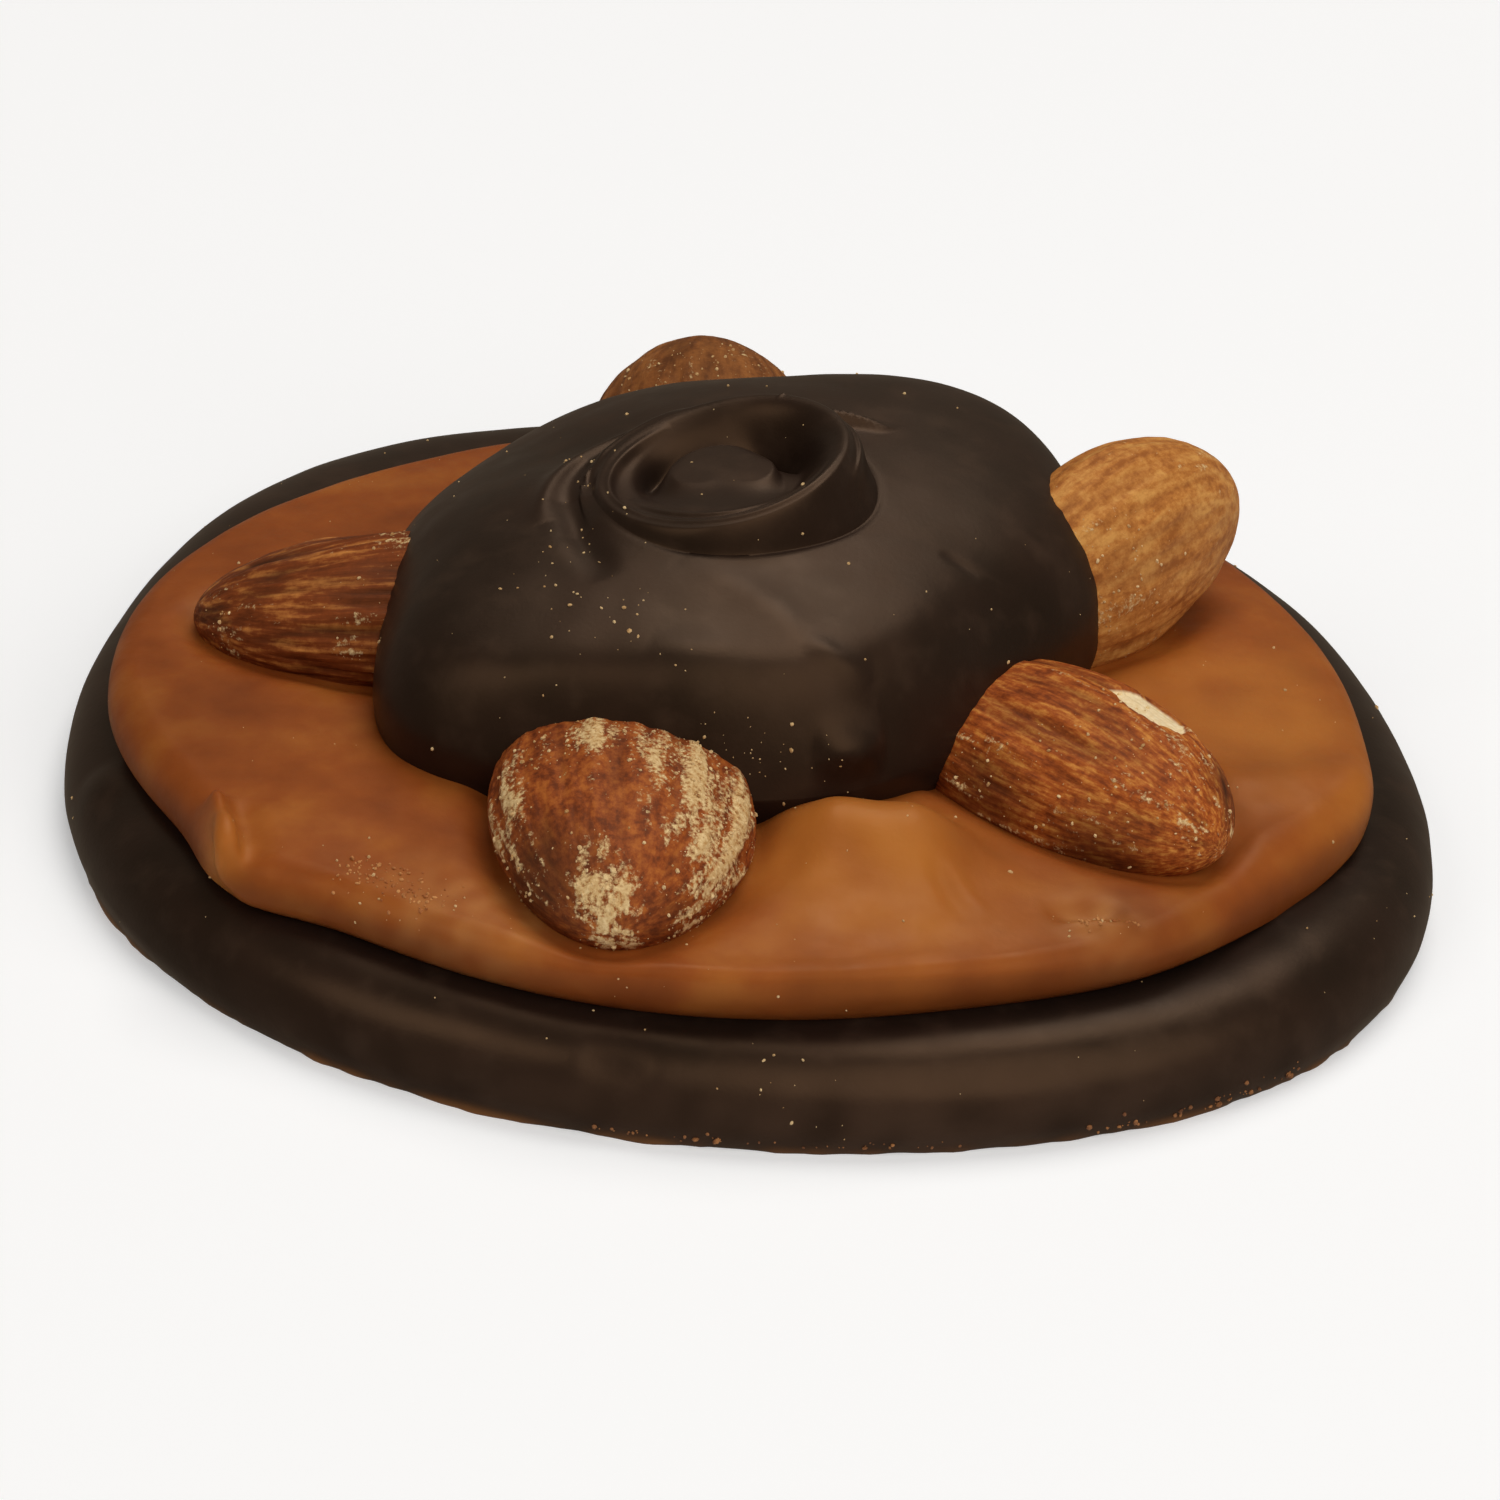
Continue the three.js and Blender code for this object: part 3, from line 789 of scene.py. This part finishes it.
    # what the skin's material reads
    kept = ball
    for label, kind, value in (("skinPlace", "FLOAT_VECTOR", skin), ("almondPlace", "FLOAT_VECTOR", plain),
                               ("ridge", "FLOAT", noises[0]), ("chip", "FLOAT", chipTorn)):
        kept = add("GeometryNodeStoreNamedAttribute", {"Geometry": kept, "Name": label, "Value": value},
                   data_type=kind)
    shaped = add("GeometryNodeSetPosition", {"Geometry": kept, "Position": end})
    smooth = add("GeometryNodeSetShadeSmooth", [shaped])
    placed = add("GeometryNodeTransform", {
        "Geometry": smooth, "Translation": given["Place"], "Rotation": given["Turn"], "Scale": (mm, mm, mm)})
    finishTree(add, placed, given["Skin"])
    return tree


# the dark patches are painted shade, in part burnt skin
patchCore = 0.3  # a patch of dust or burnt skin is full within this share of its spread


# Roasted almond skin: dry, matt brown with lengthwise fibres, and pale flour dust caught on the ridges.
# Painted shade darkens the grooves and some patches, which are in part burnt skin. Under a chip the flesh
# is cream. Its patterns are in the almond's own millimetres.
def almondSkin(name, look):
    material, add = newMaterial(name)
    skin, spot = [add("Attribute", attribute_name=label).outputs["Vector"]
                  for label in ("skinPlace", "almondPlace")]
    ridge, chip = [add("Attribute", attribute_name=label).outputs["Fac"] for label in ("ridge", "chip")]

    def patches(places):
        total = 0.0
        for place, spread, share in places:
            away = add("VectorMath", [spot, place], operation="DISTANCE").outputs["Value"]
            patch = add("MapRange", [away, patchCore * spread, spread, share, 0.0])
            total = add("Math", [patch, total], operation="MAXIMUM")
        return total

    fibre = add("Mapping", {"Vector": skin, "Scale": (1, 1, look["fibre"]), "Location": (look["seed"], 0, 0)})
    streak = add("TexNoise", {"Vector": fibre, "Scale": 1 / look["streak"], "Detail": 5.0, "Roughness": 0.6})
    mottle = add("TexNoise", {"Vector": spot, "Scale": 1 / 0.45, "Detail": 4.0, "Roughness": 0.7})
    mottled = add("Math", [mottle, look["mottle"], streak], operation="MULTIPLY_ADD")
    level = add("Math", [mottled, 0.5 * look["mottle"]], operation="SUBTRACT")
    tone = add("ValToRGB", [level], [(0.32, look["dark"]), (0.7, look["light"]), (0.5, look["main"])])
    # painted shade: the grooves and the dark patches mix towards the deep colour
    groove = add("MapRange", [ridge, 0.34, 0.5, look["groove"], 0.0])
    burntAndPaintedShade = add("Math", [groove, patches(look["burntAndPaintedShade"])], operation="ADD", use_clamp=True)
    deep = add("Mix", {0: burntAndPaintedShade, 6: tone, 7: hexColor(look["deep"])}, data_type="RGBA")
    # flour dust lies in patches, most on the ridges, in stripes that break into grains of 0.3 mm
    dustRun = add("Mapping", {"Vector": spot, "Scale": (0.12, 1, 1), "Location": (0, look["seed"], 0)})
    stripe = add("TexNoise", {"Vector": dustRun, "Scale": 1 / 0.5, "Detail": 1.5})
    grains = add("TexNoise", {"Vector": spot, "Scale": 1 / 0.3, "Detail": 3.0, "Roughness": 0.65})
    laid = patches(look["dust"])
    for cause, weight in ((ridge, 2.4), (stripe, 0.9), (grains, 1.6)):
        laid = add("Math", [cause, weight, laid], operation="MULTIPLY_ADD")
    dusted = add("MapRange", [laid, 2.92, 3.25, 0.0, 0.95])
    flour = add("ValToRGB", [grains], [(0.35, "bd945c"), (0.66, "e9d09e")])
    floured = add("Mix", {0: dusted, 6: deep.outputs[2], 7: flour}, data_type="RGBA")
    bare = add("MapRange", [chip, 0.93, 1.0, 1.0, 0.0])
    flesh = add("ValToRGB", [grains], [(0.3, "ead2a0"), (0.7, "fbeccb")])
    shown = add("Mix", {0: bare, 6: floured.outputs[2], 7: flesh}, data_type="RGBA")
    fine = add("TexNoise", {"Vector": fibre, "Scale": 1 / 0.3, "Detail": 3.0})
    rough = add("Math", [dusted, grains, fine], operation="MULTIPLY_ADD")
    finishMaterial(add, {
        "Base Color": shown.outputs[2],
        "Roughness": 0.58,
        "Specular IOR Level": 0.22,
        "Specular Tint": hexColor("ffdcb4"),
        "Normal": add("Bump", {"Height": rough, "Strength": 0.5, "Distance": 0.12 * mm}),
    })
    return material


# Where each almond lies and how its skin looks; the tip points along the azimuth. Patches of dust and dark
# patches, painted shade that is in part burnt skin, are given in the almond's own millimetres: place,
# spread, share.
almonds = {
    "almond_front_left": {
        "size": (21.0, 13.8, 8.2), "center": (-6.7, -21.5, 10), "azimuth": -87, "pitch": -3, "roll": -3,
        "ridgeDepth": 0.9, "ridgeWidth": 1.0, "fibre": 0.4, "streak": 0.5, "mottle": 0.8, "seed": 3.1,
        "main": "8f4720", "dark": "683018", "light": "ae632c", "deep": "4c2a19", "groove": 0.3,
        "dust": [
            ((-1.2, 2.6, 3.8), 4.0, 0.76), ((1.2, 4.8, 3), 4.4, 0.76), ((4.8, 5, 2), 3.8, 0.7),
            ((7.8, 4.2, 0.5), 3.2, 0.5), ((9.3, -0.7, 1.5), 2.6, 0.85), ((7.4, -1.3, 2.7), 1.7, 0.6),
            ((10.3, 0, 0), 2.2, 0.65), ((-2.2, -1.6, 3.9), 3.0, 0.76), ((-1.2, -4.2, 3), 2.6, 0.42),
            ((2.6, -5.8, 1.2), 3.4, 0.34), ((6.4, -4.8, 0.2), 3.4, 0.26), ((3.5, 0, 4), 9, 0.05),
        ],
        "burntAndPaintedShade": [((7.4, -4, 0.6), 4.4, 0.7), ((9.5, 3, 0), 2.5, 0.3)],
    },
    "almond_front_right": {
        "size": (21.2, 12.8, 7.8), "center": (16.5, -11.5, 9.7), "azimuth": -42, "pitch": 0, "roll": 8,
        "ridgeDepth": 0.8, "ridgeWidth": 1.0, "fibre": 0.16, "streak": 0.34, "mottle": 0.5, "seed": 7.4,
        "main": "a35220", "dark": "743313", "light": "d08c42", "deep": "3e1d0f", "groove": 0.4,
        "dust": [
            ((9.5, -1, 1.4), 1.6, 0.5), ((10.2, 1.6, 0.8), 1.3, 0.5), ((-2, -5, 1.8), 3, 0.22),
            ((4, 0, 3), 9, 0.12),
        ],
        "burntAndPaintedShade": [((6.4, -5.4, -0.6), 4.2, 0.7), ((-0.5, -6.2, 0.2), 4.2, 0.6), ((8.8, 3.4, 1.2), 2.8, 0.6)],
        "chipPlace": (2.4, 4.2, 2.9), "chipSize": (2.5, 2.0, 1.4),
    },
    "almond_left": {
        "size": (23.5, 13.1, 7.9), "center": (-19.1, -1.1, 10.3), "azimuth": 182, "pitch": -7, "roll": 4,
        "ridgeDepth": 2.0, "ridgeWidth": 1.5, "fibre": 0.08, "streak": 0.6, "mottle": 0.3, "seed": 11.9,
        "main": "7c3c1a", "dark": "5c2a10", "light": "c27f40", "deep": "3a1c0e", "groove": 0.75,
        "dust": [((2.8, 6, 1), 1.8, 0.36), ((9.6, 3.2, 0.6), 2.6, 0.3), ((0.7, 2, 3.8), 6, 0.1)],
        "burntAndPaintedShade": [((8, 0, 2), 4, 0.2)],
    },
    "almond_right": {
        "size": (19.5, 11.6, 7.8), "center": (18.8, 7.2, 13), "azimuth": 50, "pitch": 7, "roll": 74,
        "ridgeDepth": 0.9, "ridgeWidth": 1.1, "fibre": 0.3, "streak": 0.8, "mottle": 0.7, "seed": 17.2,
        "main": "ba7a3c", "dark": "9a5c2a", "light": "d29a54", "deep": "805230", "groove": 0.25,
        "dust": [((-3, 0, 3.4), 6, 0.22)],
        "burntAndPaintedShade": [((6, -1, 3), 3, 0.2)],
    },
    "almond_back": {
        "size": (21.9, 13.4, 8.2), "center": (-4, 18.4, 11.2), "azimuth": 94, "pitch": 8, "roll": 0,
        "ridgeDepth": 0.9, "ridgeWidth": 1.25, "fibre": 0.12, "streak": 0.7, "mottle": 0.5, "seed": 23.5,
        "main": "7f4c25", "dark": "5c3216", "light": "9a6232", "deep": "40230f", "groove": 0.4,
        "dust": [((2, 0, 4), 8, 0.18)],
        "burntAndPaintedShade": [],
    },
}


def makeAlmonds():
    tree = almondTree()
    made = {}
    for node, look in almonds.items():
        name = "roasted" + "".join(word.capitalize() for word in node.split("_"))
        values = {
            **almondShape,
            **dict(zip(("Length", "Width", "Thickness"), look["size"])),
            "Ridge width": look["ridgeWidth"], "Ridge depth": look["ridgeDepth"], "Seed": look["seed"],
            "Chip place": look.get("chipPlace", (0.0, 0.0, 99.0)),  # without one, far off the almond
            "Chip size": look.get("chipSize", (1.0, 1.0, 1.0)),
            "Place": [c * mm for c in look["center"]],
            "Turn": [math.radians(tilt) for tilt in (look["roll"], -look["pitch"], look["azimuth"])],
            "Skin": almondSkin(name + "Skin", look),
        }
        made[node] = addPiece(meshFromNodes(name, tree, values))
        print("almond:", name, len(made[node].data.polygons), "faces")
    return made


almondPieces = makeAlmonds()


# The caramel sinks a little around each almond that was pressed in, which leaves a dark line there
def seatAlmonds():
    nuts = np.vstack([pointsOf(piece.data) for piece in almondPieces.values()])
    nearby = kdtree.KDTree(len(nuts))
    for i, place in enumerate(nuts):
        nearby.insert(place, i)
    nearby.balance()
    points = pointsOf(pouredCaramel.data)
    away = np.array([nearby.find(place)[2] for place in points])
    low, high = caramel["seatFade"]
    free = smoothStep(disc["thickness"] + low, disc["thickness"] + high, points[:, 2])
    points[:, 2] -= caramel["seatDepth"] * free * bell(away, caramel["seatRun"])
    setPoints(pouredCaramel.data, points)


seatAlmonds()
print("almonds pressed in")


# Crumbs, sugar and flour: small angular grains scattered as densely as the point values say
crumbShape = {"narrowest": (0.6, 0.6, 0.6), "widest": (1.5, 1.2, 1.0), "rarity": 3.0}  # large ones are few
crumbSockets = {
    "Geometry": ["Ground"],
    "Float": ["Density", "Smallest", "Largest"],
    "Int": ["Seed"],
    "Material": ["Crumb"],
}


def crumbTree():
    tree, add, given = newTree("scatteredCrumbs", crumbSockets)
    chance = add("GeometryNodeInputNamedAttribute", {"Name": "crumbChance"}, data_type="FLOAT")
    density = add("Math", [chance, given["Density"]], operation="MULTIPLY")
    spots = add("GeometryNodeDistributePointsOnFaces",
                {"Mesh": given["Ground"], "Density": density, "Seed": given["Seed"]})
    grain = add("GeometryNodeMeshIcoSphere", {"Radius": 1.0, "Subdivisions": 1})
    draw = add("FunctionNodeRandomValue", {"Seed": given["Seed"]}, data_type="FLOAT")
    rare = add("Math", [draw.outputs[1], crumbShape["rarity"]], operation="POWER")
    size = add("MapRange", {0: rare, 3: given["Smallest"], 4: given["Largest"]})
    skew = add("FunctionNodeRandomValue",
               {0: crumbShape["narrowest"], 1: crumbShape["widest"], "Seed": given["Seed"]},
               data_type="FLOAT_VECTOR")
    scale = add("VectorMath", {0: skew, "Scale": size}, operation="SCALE")
    tumble = add("FunctionNodeRandomValue", {1: (turn, turn, turn), "Seed": given["Seed"]},
                 data_type="FLOAT_VECTOR")
    facing = add("FunctionNodeEulerToRotation", [tumble])
    placed = add("GeometryNodeInstanceOnPoints",
                 {"Points": spots, "Instance": grain, "Rotation": facing, "Scale": scale})
    finishTree(add, placed, given["Crumb"])
    return tree


# Almond crumbs, sugar and flour: dry and dull, each grain a little lighter or darker
def crumbMaterial(name, low, high):
    material, add = newMaterial(name)
    place = add("TexCoord").outputs["Object"]
    mixed = add("TexNoise", {"Vector": place, "Scale": 1 / (0.8 * mm), "Detail": 1.0})
    tone = add("ValToRGB", [mixed], [(0.35, low), (0.65, high)])
    finishMaterial(add, {"Base Color": tone, "Roughness": 0.8})
    return material


# Kinds of crumb: colours, radii, and where they lie on each piece: runs (chain of points, grains per square
# millimetre, width) and the few that lie anywhere. Flour lies on the almonds, as densely as their dust.
crumbs = {
    "paleCrumbs": {
        "colors": ("b8905c", "e3c795"), "radii": (0.03, 0.13), "anywhere": 0.04,
        "chocolateDollop": [
            (((-10.2, -12, 17.8), (-6, -14.4, 17.4)), 0.9, 1.5),
            (((-1.2, -19, 12.8), (3, -18.6, 12.6)), 1.8, 1.4),
            (((-11.6, -0.8, 18.7), (-10, -8, 18.7)), 0.4, 1.6),
        ],
        "pouredCaramel": [
            (((-19, -27, 8.6), (-14.5, -30.1, 8.3)), 0.4, 1.6),
            (((2, -19.6, 12), (9, -19.6, 12)), 0.7, 0.7),
            (((17, -25.6, 8.8), (20, -24.4, 8.7)), 1.5, 0.7),
        ],
        "mouldedDisc": [(((2, -36, 3.4), (5, -36, 3.2)), 0.6, 1.5)],
    },
    "toastedCrumbs": {
        "colors": ("6b4022", "a9713f"), "radii": (0.05, 0.22),
        "mouldedDisc": [
            (((-6.3, -35.8, 0.5), (0, -36.1, 0.5), (6.3, -35.6, 0.5), (12.4, -34.3, 0.5)), 6.0, 0.3),
            (((18.5, -32.1, 0.5), (24.2, -28.9, 0.5), (29.2, -24.6, 0.5)), 9.0, 0.35),
        ],
    },
    "sugarGrains": {
        "colors": ("9c5a28", "c98f55"), "radii": (0.06, 0.17),
        "pouredCaramel": [
            (((-19.4, -26.2, 8.6), (-15.4, -28.6, 8.5)), 9.0, 0.75),
            (((17.2, -25.4, 8.8), (19.6, -24.6, 8.7)), 6.0, 0.45),
        ],
    },
    "flourGrains": {"colors": ("b58a54", "e6cc9a"), "radii": (0.03, 0.15), "onDust": 9.0},
}
underside = 0.4  # nothing lies below this height


def crumbChance(piece, look):
    points = pointsOf(piece.data)
    chance = look.get("anywhere", 0) + ridgeHeight(points, look.get(piece.name, []))
    return chance * (points[:, 2] > underside)


def dustChance(piece, places):
    spots = vectorsOf(piece.data.attributes["almondPlace"].data, "vector")
    near = [share * (1 - smoothStep(patchCore * spread, spread, np.linalg.norm(spots - place, axis=1)))
            for place, spread, share in places]
    return np.max(near, axis=0)


def joinMeshes(name, meshes, material):
    whole = bmesh.new()
    for mesh in meshes:
        whole.from_mesh(mesh)
    joined = bpy.data.meshes.new(name)
    whole.to_mesh(joined)
    whole.free()
    return addPiece(joined, material)


def makeCrumbs():
    tree = crumbTree()
    made = []
    for kind, look in crumbs.items():
        crumb = crumbMaterial(kind[:-1], *look["colors"])
        if "onDust" in look:
            chances = [(piece, look["onDust"] * dustChance(piece, almonds[node]["dust"]))
                       for node, piece in almondPieces.items()]
        else:
            chances = [(piece, crumbChance(piece, look))
                       for piece in (chocolateDollop, pouredCaramel, mouldedDisc)]
        smallest, largest = look["radii"]
        scattered = []
        for piece, chance in chances:
            pointValues(piece.data, "crumbChance", chance)
            values = {
                "Density": 1 / mm ** 2, "Smallest": smallest * mm, "Largest": largest * mm,
                "Seed": 20 + 7 * len(made) + len(scattered),  # its own for each kind and piece
                "Crumb": crumb,
            }
            scattered.append(meshFromNodes(piece.name + "Specks", tree, values, piece.data))
        made.append(joinMeshes(kind, scattered, crumb))
        print("crumbs:", kind, len(made[-1].data.polygons), "faces")
    return made


crumbPieces = makeCrumbs()


# Plain pale floor under soft warm lamps: one above and behind, a broad one at the front right and a weak
# one at the front left
stage = {
    "floorSide": 4000,
    "floorColor": "dbe1ea",
    "floorGlow": 0.345,
    "lampColor": "fff6ea",
    "lamps": {  # place, width, watts
        "overheadLamp": ((120, 410, 980), 800, 5.8),
        "frontLamp": ((470, -570, 700), 1200, 6.2),
        "leftLamp": ((-550, -500, 700), 600, 2.0),
    },
    "roomColor": "ffe6c8",
    "roomGlow": 0.2,
}


def makeStage():
    side = stage["floorSide"] / 2 * mm
    corners = [(-side, -side, 0), (side, -side, 0), (side, side, 0), (-side, side, 0)]
    mesh = bpy.data.meshes.new("floor")
    mesh.from_pydata(corners, [], [(0, 1, 2, 3)])
    material, add = newMaterial("paleFloor")
    finishMaterial(add, {
        "Base Color": hexColor(stage["floorColor"]),
        "Roughness": 1.0,
        "Specular IOR Level": 0.0,
        "Emission Color": hexColor("ffffff"),
        "Emission Strength": stage["floorGlow"],
    })
    floor = addPiece(mesh, material)
    for name, (place, width, watts) in stage["lamps"].items():
        lampData = bpy.data.lights.new(name, "AREA")
        lampData.shape = "DISK"
        lampData.size = width * mm
        lampData.energy = watts
        lampData.color = hexColor(stage["lampColor"])[:3]
        lamp = bpy.data.objects.new(name, lampData)
        lamp.location = Vector(place) * mm
        lamp.rotation_euler = (-lamp.location).to_track_quat("-Z", "Y").to_euler()
        scene.collection.objects.link(lamp)
    # the dim room shows only in the gloss, in place of the white floor
    floor.visible_glossy = False
    world = bpy.data.worlds.new("dimRoom")
    scene.world = world
    world.use_nodes = True
    world.cycles_visibility.diffuse = False
    back = world.node_tree.nodes["Background"].inputs
    back["Color"].default_value = hexColor(stage["roomColor"])
    back["Strength"].default_value = stage["roomGlow"]
    scene.view_settings.view_transform = "Standard"


makeStage()
print("stage lit")


# What each piece rides on and stands for
def register(piece, node=None):
    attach(piece, "root")
    if node:
        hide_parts(node)


register(mouldedDisc, "chocolate_disc")
register(pouredCaramel, "caramel_layer")
register(chocolateDollop, "chocolate_dollop")
for node, piece in almondPieces.items():
    register(piece, node)
for piece in crumbPieces:
    register(piece)

print("pieces registered")
